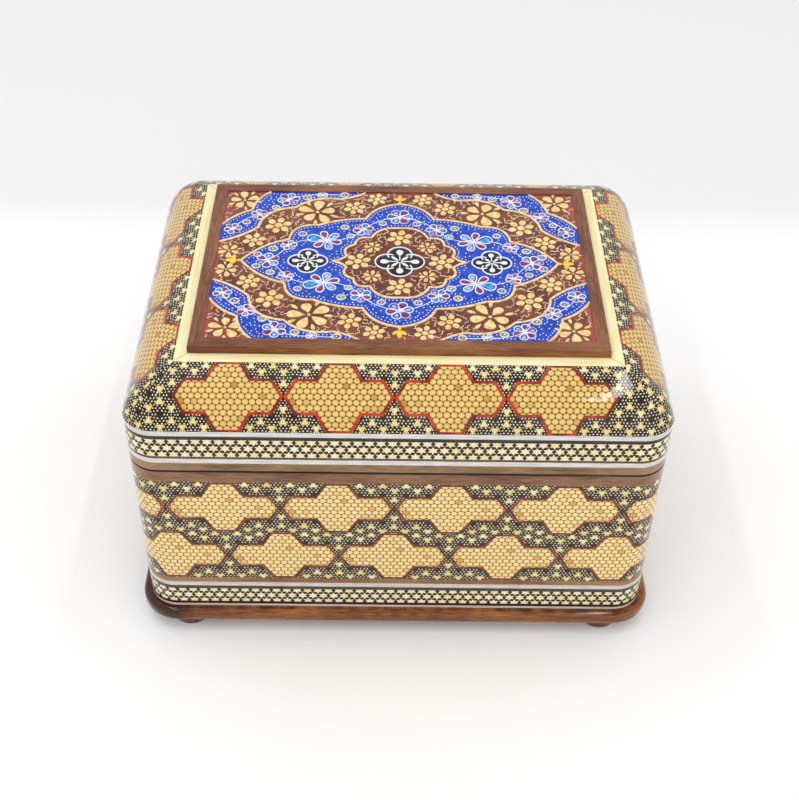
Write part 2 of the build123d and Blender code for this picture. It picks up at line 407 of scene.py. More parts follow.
def star_ground(finish, u, v, unit, dark):
    """Cream triangles in a ring of small white ones, with dark spots between, on a dark ground."""
    fine = 2 * ROOT3 * unit
    dv, du, row_v, row_u = honeycomb(v, u, fine)
    kind = row_v.math("FLOORED_MODULO", 3.0)
    large = kind.over(0.5)
    pointing = kind * 2.0 - 3.0
    big = triangle(du, dv, pointing, big_triangle * unit)
    away = length(du, dv)
    fade_start, fade_end = ring_fade
    pull = away.ramp(fade_start * unit, fade_end * unit, ring_pull, 0.0)
    hu, hv, step_u, step_v = honeycomb(u - du * pull, v - dv * pull, unit)
    small = triangle(hu, hv, -pointing.sign(), small_triangle * unit)
    clear = away.over(clear_middle * unit) * most(big.over(clear_edge * unit), -large + 1.0)
    dots = small.ramp(-0.03, 0.06, 1.0, 0.0) * clear
    triangles = big.ramp(-0.05, 0.05, 1.0, 0.0) * large
    white = finish.chance(step_u, step_v).blend("#FFF4D6", "#F0DCA4")
    cream = finish.chance(row_u, row_v).blend("#F8E8AE", "#EACE80")
    colour = dots.blend(dark, white)
    return triangles.blend(colour, cream)


def medallion_edge(u, v, half_length):
    """Signed distance to a medallion: a long bar crossed by a tall block, both with 60-degree ends."""
    slant = abs(u) * COS30 + abs(v) * 0.5
    bar = most(abs(v) - bar_half_height, slant - half_length * COS30)
    block_slant = block_shoulder * COS30 + bar_half_height * 0.5
    block = most(abs(v) - block_half_height, slant - block_slant)
    return least(bar, block)


def lacquered(name):
    """A finish under clear gloss lacquer."""
    return Finish(name, roughness=0.35, coat=1.0, coat_roughness=0.04)


def marquetry(name, settle, pitch, cell, line_width, colours):
    """Khatam: honeycomb medallions in a coloured line, on a ground of stars."""
    finish = lacquered(name)
    drift = (finish.noise(drift_scale, detail=1.0) - 0.5) * drift_reach
    local_u, local_v, edge = settle(finish, drift)
    inner = cells(finish, local_u, local_v, cell, colours)
    ground = star_ground(finish, local_u + pitch / 2, local_v, pitch / ground_steps, colours["ground"])
    tone = finish.noise(0.16).ramp(0.4, 0.6)
    line = tone.blend(*colours["line"])
    inside = edge.ramp(-line_width - edge_softness, -line_width + edge_softness, 1.0, 0.0)
    outside = edge.ramp(-edge_softness, edge_softness)
    finish.set("Base Color", inside.blend(outside.blend(line, ground), inner))
    finish.wave()
    return finish.material


body_pitch = 4 * quarter_length(body_radius) / body_medallions
khatam_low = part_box("front_khatam")[0][2] / MM
khatam_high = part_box("front_khatam")[1][2] / MM


def settle_body(finish, drift):
    """Pattern coordinates on the body: two staggered rows of medallions round the box."""
    row_height = (khatam_high - khatam_low) / 2
    u = whole_path(finish, body_radius) + body_pattern_shift + drift
    v = finish.z - (khatam_low + khatam_high) / 2
    row = v.over(0.0)
    local_u = (u + row * (body_pitch / 2)).wrap(-body_pitch / 2, body_pitch / 2)
    local_v = v.wrap(0.0, row_height) - row_height / 2
    return local_u, local_v, medallion_edge(local_u, local_v, body_pitch / 2)


lid_half_x, lid_half_y = half_extents("lid_star_band")
shoulder_chord = math.hypot(shoulder_width, shoulder_height)
shoulder_radius = shoulder_chord / (2 * math.sin(shoulder_turn / 2))
shoulder_start = math.pi / 2 - math.atan2(shoulder_height, shoulder_width) - shoulder_turn / 2
shoulder_in = shoulder_radius * math.cos(shoulder_start)
shoulder_down = shoulder_radius * math.sin(shoulder_start)
rim_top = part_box("lid_white_line_upper")[1][2] / MM
tiny = 0.001


def settle_lid(long_side, pitch, count, shift):
    """Pattern coordinates on one pair of the lid's shoulders: one row of medallions up the curve."""

    def settle(finish, drift):
        rise = (finish.z - (rim_top - shoulder_down)) / shoulder_radius
        angle = least(rise, 1.0).math("ARCSINE")
        share = (angle - shoulder_start) / shoulder_turn
        radius = share * (shoulder_top_radius - lid_radius) + lid_radius
        drawn_in = angle.math("COSINE") * -shoulder_radius + shoulder_in
        own, other = (finish.x, finish.y) if long_side else (finish.y, finish.x)
        own_half, other_half = (lid_half_x, lid_half_y) if long_side else (lid_half_y, lid_half_x)
        own_corner = -(drawn_in + radius) + own_half
        other_corner = -(drawn_in + radius) + other_half
        turn = most(abs(own) - own_corner, 0.0).math("ARCTAN2", most(abs(other) - other_corner, tiny))
        path = least(abs(own), own_corner) + turn * radius
        u = path * own.sign() + shift + drift
        v = (angle - (shoulder_start + shoulder_turn / 2)) * shoulder_radius
        start = pitch / 2 if count % 2 == 0 else 0.0
        local_u = (u + start).wrap(-pitch / 2, pitch / 2)
        edge = medallion_edge(local_u, v, pitch / 2)
        beyond = abs(u) - count * pitch / 2
        return local_u, v, most(edge, beyond)

    return settle


def make_star_band(name, radius, node):
    """A row of six-pointed stars, with dark rhombi between them and half stars at the edges."""
    finish = lacquered(name)
    pitch = 4 * quarter_length(radius) / band_stars
    low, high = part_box(node)
    u = whole_path(finish, radius)
    v = (finish.z - (low[2] + high[2]) / 2 / MM) / row_squeeze
    du, dv, step_u, step_v = honeycomb(u, v, pitch)
    across = most(abs(du), abs(du) * 0.5 + abs(dv) * COS30)
    along = most(du * du + dv * dv - across * across, 0.0).math("SQRT")
    notch = along * -notch_slope + notch_depth * pitch
    gap = across * -1.0 + pitch / 2 - notch
    star = gap.ramp(-0.05, 0.08)
    cream = finish.chance(step_u, step_v).blend("#F8EFCC", "#F0DCA0")
    finish.set("Base Color", star.blend("#241808", cream))
    finish.wave()
    return finish.material


parting_height = (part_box("body_rim_strip")[1][2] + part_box("lid_wood_strip")[0][2]) / 2 / MM


def parting_painted_shade(finish):
    """Painted shade: dark edges where the lid meets the body, standing in for the shadow in the gap between
    them.
    """
    return abs(finish.z - parting_height).ramp(0.3, 0.75, 0.95, 0.0)


def left_end_darkening(finish):
    """The left end of the plinth, darkened to nearly black."""
    cloud = finish.noise(0.15, detail=3.0)
    return (finish.x + cloud * 6.0).ramp(-76.0, -69.0, 0.85, 0.0)


def make_wood(name, dark, mid, light, grain, roughness=0.35, coat=1.0, darkening=None):
    """Wood with its grain along the first coordinate that grain gives, blackened where the mask it is given
    is 1: painted shade at the lid's parting line, and the plinth's darker left end.
    """
    finish = Finish(name, roughness=roughness, coat=coat, coat_roughness=0.06)
    bands = finish.streaks(*grain(finish), squeeze=0.045, scale=1.1, detail=5.0, roughness=0.6)
    fine = finish.streaks(*grain(finish), squeeze=0.0375, scale=5.12, detail=3.0)
    cloud = finish.streaks(*grain(finish), squeeze=0.5, scale=0.06, detail=2.0)
    colour = bands.ramp(0.3, 0.7).blend(dark, mid)
    colour = (cloud * 0.5 + fine * 0.5).ramp(0.4, 0.68).blend(colour, light)
    pores = fine.ramp(0.34, 0.44, 0.35, 0.0)
    colour = pores.blend(colour, dark)
    # Painted shade at the parting line, and the plinth's darker left end, where a mask is given
    if darkening:
        colour = darkening(finish).blend(colour, darkening_colour)
    finish.set("Base Color", colour)
    finish.bump(fine, 0.5)
    return finish.material


def along_x(finish):
    """Grain from left to right."""
    return finish.x, finish.y, finish.z


def along_y(finish):
    """Grain from front to back."""
    return finish.y, finish.x, finish.z


def round_the_box(radius):
    """Grain that follows the sides and the corners."""

    def grain(finish):
        path = quarter_path(finish, radius)
        return path, finish.z, (abs(finish.x) - abs(finish.y)) * 0.02

    return grain


def make_line(name, dark, light):
    """A thin inlaid strip of one colour, with faint mottling along it."""
    finish = lacquered(name)
    path = quarter_path(finish, body_radius)
    streak = finish.streaks(path, finish.z, 0.0, squeeze=0.08, scale=1.6, detail=3.0)
    finish.set("Base Color", streak.ramp(0.35, 0.65).blend(dark, light))
    finish.wave()
    return finish.material


def make_velvet():
    """Dark red velvet with a soft nap."""
    finish = Finish("velvet", roughness=0.9)
    nap = finish.noise(0.05, detail=3.0)
    pile = finish.noise(4.0)
    tone = (nap * 0.7 + pile * 0.3).ramp(0.35, 0.65)
    finish.set("Base Color", tone.blend("#5A0B16", "#8C1626"))
    finish.set("Sheen Weight", 0.8)
    finish.set("Sheen Roughness", 0.35)
    finish.set("Sheen Tint", "#E06A74")
    finish.bump(pile, 0.6, distance=0.15)
    return finish.material


def make_brass():
    """Brushed brass, a little tarnished."""
    finish = Finish("brass", metallic=1.0)
    brushed = finish.streaks(*along_x(finish), squeeze=0.05, scale=6.0, detail=3.0)
    tarnish = finish.noise(0.25, detail=4.0)
    finish.set("Base Color", tarnish.ramp(0.42, 0.7).blend("#D9A94C", "#9C7030"))
    finish.set("Roughness", (brushed * 0.5 + tarnish * 0.5).ramp(0.35, 0.65, 0.2, 0.38))
    finish.bump(brushed, 0.4, distance=0.02)
    return finish.material


def make_border(name, grain):
    """Pale wood with a faint grain and a fine dark line at each mitre."""
    finish = lacquered(name)
    streaks = finish.streaks(*grain(finish), squeeze=0.05, scale=1.2, detail=4.0)
    border_x, border_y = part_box("front_border")[1][0] / MM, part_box("right_border")[1][1] / MM
    mitre = abs(abs(finish.x) - abs(finish.y) - (border_x - border_y)).ramp(0.08, 0.3, 0.8, 0.0)
    pale = streaks.ramp(0.35, 0.7).blend("#FFF8CC", "#F6E59A")
    finish.set("Base Color", mitre.blend(pale, "#A8813A"))
    finish.wave()
    return finish.material


# Heights of painted fields, drops and lines over the panel, and how far they sink in
panel_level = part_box("painted_panel")[1][2] / MM
panel_half_x, panel_half_y = half_extents("painted_panel")
blue_rise = 0.06
centre_rise = 0.12
drop_rise = 0.22
line_rise = 0.26
sunk = 0.05

# Sections of a drop and of a line: share of the half width, share of the rise
drop_section = ((0.88, 0.7), (0.5, 1.0))
line_section = ((-0.7, 0.75), (0.0, 1.0), (0.7, 0.75))

# Corners of a petal's outline, and usually of a drop's
petal_corners = 16
drop_corners = 14

# White dots in rows along the edges of the blue, and scattered dots and curls
dot_radius = 0.27
dot_rise = 0.18
dot_spacing = 1.3
dot_margin = 1.5
scatter_tries = 9000
scatter_margin = 1.2

# The panel's ornament in its first quarter: arcs, each from a corner (x, y), with its bulge outwards
medallion_arcs = [(55.5, 0, 0.18), (39.5, 13, 0.5), (29.3, 22, 0.12), (12.4, 26.3, 0.3), (0, 36, 0)]
centre_arcs = [(23.6, 0, -0.2), (18.6, 3.3, 0.55), (15.9, 10, 0.6), (10.2, 14.2, 0.4), (0, 20.4, 0)]
band_inner_arcs = [
    (64.3, 11.2, -0.12), (51.2, 20.2, 0.4), (38.4, 33.2, 0.3), (22, 38.9, -0.12), (13, 43.3, 0),
]
band_outer_arcs = [(64.3, 21.6, 0.16), (54.2, 31.2, 0.2), (48.2, 43.3, 0)]
medallion_vine = [(46.2, 0, -0.1), (39.4, 9.2, 0.25), (26.2, 12.4, -0.3), (13.2, 19.4, 0.2), (0, 27.6, 0)]
band_vine = [(60.1, 19, 0.2), (51.3, 28.3, -0.3), (41.2, 38.2, 0.2), (28.8, 41.3, 0.1), (20.6, 41.6, 0)]

# Gold rosettes and blossoms on the maroon ground, and flowers and rings on the blue: x, y and more
rosettes = ((51.9, 12.2, 4.0), (43.9, 21.6, 4.6), (16.6, 33.2, 3.9), (8.4, 39.2, 3.6))
blossoms = ((30.2, 30.2, 7.4), (57.4, 37.4, 5.9), (60.2, 5.6, 4.2))
flowers = (
    (46.2, 0, 4.2, ("red", "pale_blue")), (39.4, 9.2, 2.9, ("pale_blue", "red")),
    (13.2, 19.4, 3.7, ("pale_blue", "red", "sky")), (0, 27.6, 4.6, ("red", "pale_blue")),
    (28.8, 41.3, 1.9, ("pale_blue", "sky")), (41.2, 38.2, 4.1, ("red", "pale_blue")),
    (51.3, 28.3, 3.1, ("pale_blue", "red")), (60.1, 19.0, 3.2, ("sky", "red")),
)
eyes = (
    (44.8, 7.0, "green"), (34.8, 16.2, "blue"), (19.8, 20.6, "green"), (6.2, 23.2, "blue"),
    (17.6, 15.2, "sky"), (34.4, 39.6, "green"), (45.6, 32.8, "green"), (55.6, 23.2, "blue"),
    (50.0, 3.4, "blue"), (20.6, 41.6, "blue"),
)


def arcs(corners):
    """Points along a chain of arcs given by corners (x, y, bulge)."""
    points = []
    for (x0, y0, bulge), (x1, y1, _) in zip(corners, corners[1:]):
        middle_x = (x0 + x1) / 2 + (y1 - y0) * bulge
        middle_y = (y0 + y1) / 2 - (x1 - x0) * bulge
        for step in range(arc_steps):
            t = step / arc_steps
            a, b, c = (1 - t) ** 2, 2 * t * (1 - t), t * t
            points.append((a * x0 + b * middle_x + c * x1, a * y0 + b * middle_y + c * y1))
    points.append(corners[-1][:2])
    return points


def flipped(points, sign_x, sign_y):
    """The points in another quarter, still counter-clockwise."""
    turned = [(x * sign_x, y * sign_y) for x, y in points]
    return turned if sign_x * sign_y > 0 else turned[::-1]


def four_quarters(points):
    """A closed outline from its first quarter."""
    outline = []
    for signs in QUARTERS:
        outline += flipped(points, *signs)[:-1]
    return outline


def add_object(name, data):
    """A new object in the scene."""
    added = bpy.data.objects.new(name, data)
    bpy.context.scene.collection.objects.link(added)
    return added


def add_piece(name, mesh, material):
    """A new mesh object from a bmesh, its faces turned outwards."""
    bmesh.ops.recalc_face_normals(mesh, faces=mesh.faces)
    data = bpy.data.meshes.new(name)
    mesh.to_mesh(data)
    mesh.free()
    data.materials.append(material)
    return add_object(name, data)


def around(x, y, along, across, turn):
    """The point so far along and across from (x, y), in a direction turned from the x axis."""
    cos, sin = math.cos(turn), math.sin(turn)
    return x + along * cos - across * sin, y + along * sin + across * cos


def turns(count):
    """So many even steps round a circle."""
    return [2 * math.pi * index / count for index in range(count)]


def ring_points(x, y, radius_x, radius_y=None, count=drop_corners, turn=0.0):
    """An ellipse, or a circle where only one radius is given."""
    radius_y = radius_y or radius_x
    return [around(x, y, radius_x * math.cos(a), radius_y * math.sin(a), turn) for a in turns(count)]


def petal_points(x, y, angle, reach, width, start=0.0, fullness=0.7):
    """A teardrop that starts near (x, y) and points outwards."""
    points = []
    for t in turns(petal_corners):
        along = start + (reach - start) * (1 - math.cos(t)) / 2
        across = width / 2 * math.sin(t) * math.sin(t / 2) ** fullness
        points.append(around(x, y, along, across, angle))
    return points


def side_steps(points, closed):
    """The unit vector to the left of a line at each of its points."""
    count = len(points)
    steps = []
    for index, point in enumerate(points):
        before = points[index - 1] if closed or index else point
        after = points[(index + 1) % count] if closed or index < count - 1 else point
        dx, dy = after[0] - before[0], after[1] - before[1]
        size = math.hypot(dx, dy) or 1.0
        steps.append((-dy / size, dx / size))
    return steps


class Paint:
    """Raised paint of one colour on the panel, gathered into one piece."""

    def __init__(self, name, dark, light):
        self.name = name
        self.mesh = bmesh.new()
        self.finish = Finish(name, roughness=0.3, coat=0.7, coat_roughness=0.08)
        cloud = self.finish.noise(0.7, detail=4.0)
        self.finish.set("Base Color", cloud.ramp(0.35, 0.65).blend(dark, light))
        self.finish.bump(self.finish.noise(1.6), 0.5)

    def vertex(self, x, y, rise):
        return self.mesh.verts.new((x * MM, y * MM, (panel_level + rise) * MM))

    def vertices(self, points, rise):
        return [self.vertex(x, y, rise) for x, y in points]

    def walls(self, lower, upper):
        for corners in zip(lower, lower[1:] + lower[:1], upper[1:] + upper[:1], upper):
            self.mesh.faces.new(corners)

    def plate(self, outline, rise):
        """A flat area of paint."""
        upper = self.vertices(outline, rise)
        self.walls(self.vertices(outline, -sunk), upper)
        self.mesh.faces.new(upper)

    def blob(self, outline, rise=drop_rise, base=blue_rise):
        """A drop of paint with a domed top."""
        centre_x = sum(p[0] for p in outline) / len(outline)
        centre_y = sum(p[1] for p in outline) / len(outline)
        rings = [self.vertices(outline, base - sunk)]
        for share, height in drop_section:
            move_x, move_y = centre_x * (1 - share), centre_y * (1 - share)
            ring = [(x * share + move_x, y * share + move_y) for x, y in outline]
            rings.append(self.vertices(ring, base + rise * height))
        for lower, upper in zip(rings, rings[1:]):
            self.walls(lower, upper)
        self.mesh.faces.new(rings[-1])

    def stroke(self, points, width, rise=line_rise, base=blue_rise, closed=False, tapered=False):
        """A raised line with a rounded top."""
        section = [(side, rise * share) for side, share in line_section]
        section = [(-1, -sunk)] + section + [(1, -sunk)]
        count = len(points)
        rows = []
        for index, ((x, y), (nx, ny)) in enumerate(zip(points, side_steps(points, closed))):
            share = index / (count - 1)
            half = width / 2 * (math.sin(math.pi * (0.12 + 0.76 * share)) if tapered else 1.0)
            row = [self.vertex(x + nx * half * side, y + ny * half * side, base + up) for side, up in section]
            rows.append(row)
        following = rows[1:] + rows[:1] if closed else rows[1:]
        for first, second in zip(rows, following):
            for i in range(len(section) - 1):
                self.mesh.faces.new((first[i], second[i], second[i + 1], first[i + 1]))
        if not closed:
            self.mesh.faces.new(rows[0])
            self.mesh.faces.new(rows[-1][::-1])

    def build(self):
        piece = add_piece(self.name, self.mesh, self.finish.material)
        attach(piece, "lid")


def mirrored(rows):
    """Each row of x, y and more in all four quarters, without doubles on an axis."""
    for x, y, *more in rows:
        for place in sorted({(x * sign_x, y * sign_y) for sign_x, sign_y in QUARTERS}):
            yield (*place, *more)


def gold_rosette(gold, x, y, radius, base=0.0):
    """A ring of six grains round a seventh."""
    gold.blob(ring_points(x, y, radius * 0.34, radius * 0.3), base=base)
    for angle in (0.3 + step for step in turns(6)):
        spot = around(x, y, radius * 0.72, 0.0, angle)
        gold.blob(ring_points(*spot, radius * 0.35, radius * 0.29, turn=angle), base=base)


def gold_blossom(gold, x, y, radius, turn, luck, base=0.0):
    """Five broad petals round a small heart, with slim leaves between."""
    gold.blob(ring_points(x, y, radius * 0.09), base=base)
    for angle in (turn + step for step in turns(5)):
        reach = radius * luck.uniform(0.86, 1.04)
        width = radius * luck.uniform(0.66, 0.82)
        gold.blob(petal_points(x, y, angle, reach, width, radius * 0.14, fullness=1.3), base=base)
        leaf = angle + math.pi / 5
        gold.blob(petal_points(x, y, leaf, radius * 1.12, radius * 0.24, radius * 0.66), base=base)


def enamel_flower(colours, x, y, radius, turn, fills):
    """Six petals outlined in white and rose round a white heart, each with a coloured drop in it."""
    for index, step in enumerate(turns(6)):
        angle = turn + step
        outline = petal_points(x, y, angle, radius, radius * 0.86, radius * 0.16, fullness=0.9)
        colours["rose" if index % 3 == 0 else "white"].stroke(outline, 0.42, closed=True)
        drop = petal_points(x, y, angle, radius * 0.84, radius * 0.42, radius * 0.36, fullness=0.9)
        colours[fills[index % len(fills)]].blob(drop, 0.14)
    colours["white"].blob(ring_points(x, y, radius * 0.15))


def enamel_spray(colours, x, y, radius, turn):
    """A large flower with one great light-blue drop, red petals and pale ones."""
    fills = ("sky", "red", "pale_blue", "red", "pale_blue", "red")
    for fill, step in zip(fills, turns(len(fills))):
        angle = turn + step
        share, width = (1.0, radius * 0.8) if fill == "sky" else (0.8, radius * 0.5)
        outline = petal_points(x, y, angle, radius * share, width, radius * 0.12, fullness=1.1)
        colours["white"].stroke(outline, 0.5, closed=True)
        inner = petal_points(x, y, angle, radius * share * 0.9, width * 0.62, radius * 0.3, fullness=1.1)
        colours[fill].blob(inner, 0.16)
    colours["white"].blob(ring_points(x, y, radius * 0.1))


def enamel_eye(colours, x, y, radius, fill):
    """A double ring round a coloured bead with a white drop."""
    outer = ring_points(x, y, radius, radius * 0.9, 18)
    inner = ring_points(x, y, radius * 0.7, radius * 0.62, 18)
    colours[fill].blob(ring_points(x, y, radius * 0.62, radius * 0.56), 0.14)
    colours["white"].stroke(outer, 0.36, closed=True)
    colours["gold"].stroke(inner, 0.26, closed=True)
    colours["white"].blob(ring_points(x, y, radius * 0.24, count=9))


def knot(colours, x, y, radius, base):
    """A black quatrefoil with a white edge and a white four-armed figure in it."""
    white = colours["white"]
    lobe = radius * 0.5
    bends = [math.radians(-120 + 12 * step) for step in range(21)]
    for angle in turns(4):
        middle = around(x, y, lobe, 0.0, angle)
        colours["black"].blob(ring_points(*middle, radius * 0.47, radius * 0.43, 20, angle), 0.1, base=base)
        white.stroke([around(*middle, lobe, 0.0, angle + bend) for bend in bends], 0.6, base=base)
        arm = [around(x, y, radius * share, 0.0, angle) for share in (0.1, 0.6)]
        white.stroke(arm, 0.5, base=base + 0.05)
        spear = petal_points(x, y, angle, radius * 0.82, radius * 0.36, radius * 0.4, fullness=0.4)
        white.blob(spear, 0.2, base=base)
        white.blob(ring_points(x, y, radius * 0.12), 0.24, base=base)
        leaf = petal_points(x, y, angle + math.pi / 4, radius * 0.5, radius * 0.16, radius * 0.06)
        white.blob(leaf, 0.2, base=base + 0.05)


def fleur(colours, x, y, direction):
    """A small yellow three-petalled finial pointing outwards."""
    for spread, reach, width in ((-0.85, 3.2, 1.6), (0.0, 4.0, 2.0), (0.85, 3.2, 1.6)):
        colours["yellow"].blob(petal_points(x, y, direction + spread, reach, width, fullness=0.3), base=0.0)
    colours["yellow"].blob(petal_points(x, y, direction + math.pi, 2.4, 1.5, fullness=0.3), base=0.0)


def scroll(x, y, size, turn, hand):
    """A small open curl with a tail the other way."""
    steps = 16
    points = []
    for index in range(steps + 1):
        t = index / steps
        across = hand * size * 0.42 * math.sin(2 * math.pi * t)
        points.append(around(x, y, size * (2.0 * t - 1.0), across, turn))
    return points


def set_in(points, distance):
    """A closed line beside another, on the inner side of one that runs counter-clockwise."""
    sides = side_steps(points, closed=True)
    return [(x + nx * distance, y + ny * distance) for (x, y), (nx, ny) in zip(points, sides)]


def beads(points, spacing):
    """Evenly spaced places along a line."""
    places = [points[0]]
    travelled = 0.0
    for (x0, y0), (x1, y1) in zip(points, points[1:]):
        reach = math.hypot(x1 - x0, y1 - y0)
        while reach and travelled + reach >= spacing:
            share = (spacing - travelled) / reach
            x0, y0 = x0 + (x1 - x0) * share, y0 + (y1 - y0) * share
            places.append((x0, y0))
            reach = math.hypot(x1 - x0, y1 - y0)
            travelled = 0.0
        travelled += reach
    return places


def inside(point, outline):
    """Whether a point lies within a closed outline."""
    x, y = point
    within = False
    for (x0, y0), (x1, y1) in zip(outline, outline[1:] + outline[:1]):
        if (y0 > y) != (y1 > y) and x < (x1 - x0) * (y - y0) / (y1 - y0) + x0:
            within = not within
    return within


class Ornament:
    """A lobed medallion with corner bands, flowers and scrolls: traditional ornament in raised paint."""

    def __init__(self):
        self.luck = random.Random(11)
        self.colours = {name: Paint(f"paint_{name}", *codes) for name, codes in paint_colours.items()}
        self.medallion = four_quarters(arcs(medallion_arcs))
        self.centre = four_quarters(arcs(centre_arcs))
        self.blues = [self.medallion]
        self.taken = []

    def claim(self, x, y, radius):
        self.taken.append((x, y, radius))

    def free(self, x, y, radius):
        return all(math.hypot(x - a, y - b) > r + radius for a, b, r in self.taken)

    def on_blue(self, spot):
        return any(inside(spot, outline) for outline in self.blues) and not inside(spot, self.centre)

    def near_edge(self, spot):
        """Distance from a place to the nearest corner of a field's outline."""
        return min(math.dist(spot, corner) for outline in self.blues + [self.centre] for corner in outline)

    def rim(self, points, base, closed=True):
        """A gold line with a narrower cream one on it."""
        self.colours["gold"].stroke(points, 1.05, 0.2, base=base, closed=closed)
        self.colours["cream"].stroke(points, 0.5, 0.28, base=base, closed=closed)

    def dot(self, spot, room):
        """A small white dot on the blue."""
        self.colours["white"].blob(ring_points(*spot, dot_radius, count=7), dot_rise)
        self.claim(*spot, room)

    def lay_fields(self):
        """The blue medallion, its maroon middle and the blue corner bands."""
        self.colours["blue"].plate(self.medallion, blue_rise)
        self.rim(self.medallion, blue_rise)
        self.colours["maroon"].plate(self.centre, centre_rise)
        self.rim(self.centre, centre_rise)
        inner, outer = arcs(band_inner_arcs), arcs(band_outer_arcs)
        for signs in QUARTERS:
            band = flipped(inner + outer[::-1], *signs)
            self.blues.append(band)
            self.colours["blue"].plate(band, blue_rise)
            for edge in (inner, outer):
                self.rim(flipped(edge, *signs), blue_rise, closed=False)

    def lay_gold(self):
        """Rosettes, blossoms and knots, in the middle and on the maroon ground."""
        gold, luck = self.colours["gold"], self.luck
        for x, y in mirrored(((0, 14.4), (14.6, 0))):
            gold_rosette(gold, x, y, 4.4, centre_rise)
            self.claim(x, y, 4.6)
        for x, y in mirrored([(9.6, 8.6)]):
            gold_blossom(gold, x, y, 3.3, luck.uniform(0, 6), luck, centre_rise)
            self.claim(x, y, 3.4)
        knot(self.colours, 0, 0, 8.6, centre_rise)
        self.claim(0, 0, 9.0)
        for x, y in mirrored([(32.2, 0)]):
            knot(self.colours, x, y, 6.9, blue_rise)
            self.claim(x, y, 7.6)
        for x, y, radius in mirrored(rosettes):
            gold_rosette(gold, x, y, radius)
            self.claim(x, y, radius)
        for x, y, radius in mirrored(blossoms):
            gold_blossom(gold, x, y, radius, math.atan2(y, x) + 0.4, luck)
            self.claim(x, y, radius)

    def lay_enamel(self):
        """Vines, flowers, sprays, rings and yellow finials on the blue."""
        for vine in (medallion_vine, band_vine):
            for signs in QUARTERS:
                self.colours["white"].stroke(flipped(arcs(vine), *signs), 0.32, 0.12)
        for x, y, radius, fills in mirrored(flowers):
            enamel_flower(self.colours, x, y, radius, self.luck.uniform(0, 6), fills)
            self.claim(x, y, radius + 0.3)
        for x, y in mirrored([(26.2, 12.4)]):
            enamel_spray(self.colours, x, y, 7.0, math.atan2(y * 0.6, x))
            self.claim(x, y, 7.0)
        for x, y, fill in mirrored(eyes):
            enamel_eye(self.colours, x, y, self.luck.uniform(1.35, 1.65), fill)
            self.claim(x, y, 1.9)
        for angle, (x, y) in zip(turns(4), ((57.2, 0), (0, 38.0), (-57.2, 0), (0, -38.0))):
            fleur(self.colours, x, y, angle)
            self.claim(x, y, 3.6)

    def lay_dots(self):
        """White dots in rows along the edges of the blue fields."""
        lines = [set_in(self.medallion, dot_margin)]
        lines += [set_in(outline, -dot_margin) for outline in [self.centre] + self.blues[1:]]
        for spot in (spot for line in lines for spot in beads(line, dot_spacing)):
            if self.on_blue(spot) and self.free(*spot, 0.1):
                self.dot(spot, 0.7)

    def scatter(self):
        """White dots in what is left of the blue, and curls in what is left of the maroon."""
        luck = self.luck
        reach_x, reach_y = panel_half_x - 1, panel_half_y - 1
        for _ in range(scatter_tries):
            spot = (luck.uniform(-reach_x, reach_x), luck.uniform(-reach_y, reach_y))
            if self.near_edge(spot) < scatter_margin:
                continue
            blue = self.on_blue(spot)
            if blue and self.free(*spot, 0.45):
                self.dot(spot, 0.75)
            elif not blue and self.free(*spot, 0.6):
                curl = scroll(*spot, luck.uniform(1.0, 1.5), luck.uniform(0, 6), luck.choice((-1, 1)))
                base = centre_rise if inside(spot, self.centre) else 0.0
                paint = luck.choice((self.colours["rose"], self.colours["cream"]))
                paint.stroke(curl, 0.36, 0.18, base=base, tapered=True)
                self.claim(*spot, 1.1)

    def build(self):
        self.lay_fields()
        self.lay_gold()
        self.lay_enamel()
        self.lay_dots()
        self.scatter()
        for paint in self.colours.values():
            paint.build()


def make_panel_ground():
    """The panel's maroon ground, redder towards its edges."""
    finish = Finish("panel_ground", roughness=0.3, coat=0.8, coat_roughness=0.06)
    cloud = finish.noise(0.12, detail=4.0)
    colour = cloud.ramp(0.35, 0.65).blend("#5A2A20", "#80462E")
    border = most(abs(finish.x) - panel_half_x, abs(finish.y) - panel_half_y)
    rosy = (border + cloud * 3.0).ramp(-1.4, 1.4, 0.0, 0.85)
    finish.set("Base Color", rosy.blend(colour, "#B4504C"))
    finish.bump(finish.noise(0.8), 0.3)
    return finish.material


def give(nodes, material):
    """Puts one material on CAD nodes, in every slot they have."""
    for name in nodes:
        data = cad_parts[name].data
        if not data.materials:
            data.materials.append(material)
        for index in range(len(data.materials)):
            data.materials[index] = material


def dress_marquetry():
    """The marquetry of the body and of the lid's shoulders."""
    body = marquetry("body_marquetry", settle_body, body_pitch, body_cell, body_line, body_colours)
    give([f"{side}_khatam" for side in SIDES], body)
    for label, sides in PAIRS.items():
        pitch, count, shift = lid_rows[label]
        settle = settle_lid(label == "long", pitch, count, shift)
        shoulder = marquetry(f"lid_{label}_marquetry", settle, pitch, lid_cell, lid_line, lid_colours)
        give([f"lid_{side}_khatam" for side in sides], shoulder)


def dress_strips():
    """The star bands and the lines above and below them."""
    give(["lid_star_band"], make_star_band("lid_stars", lid_radius, "lid_star_band"))
    give(["lower_star_band"], make_star_band("body_stars", body_radius, "lower_star_band"))
    lines = (
        ("lid_white", "#CFCBC6", "#E8E4DE", ["lid_white_line_lower", "lid_white_line_upper"]),
        ("body_white", "#C8BCB2", "#E4D8CC", ["lower_white_line_lower", "lower_white_line_upper"]),
        ("lid_black", "#17161A", "#3B302A", ["lid_black_line_upper"]),
        ("lid_brown", "#4A3A2C", "#6A5644", ["lid_black_line_lower"]),
        ("body_black", "#2E2A28", "#4A443C", ["lower_black_line_upper"]),
        ("body_dark_red", "#240C06", "#3A160A", ["lower_black_line_lower"]),
    )
    for name, dark, light, nodes in lines:
        give(nodes, make_line(name, dark, light))


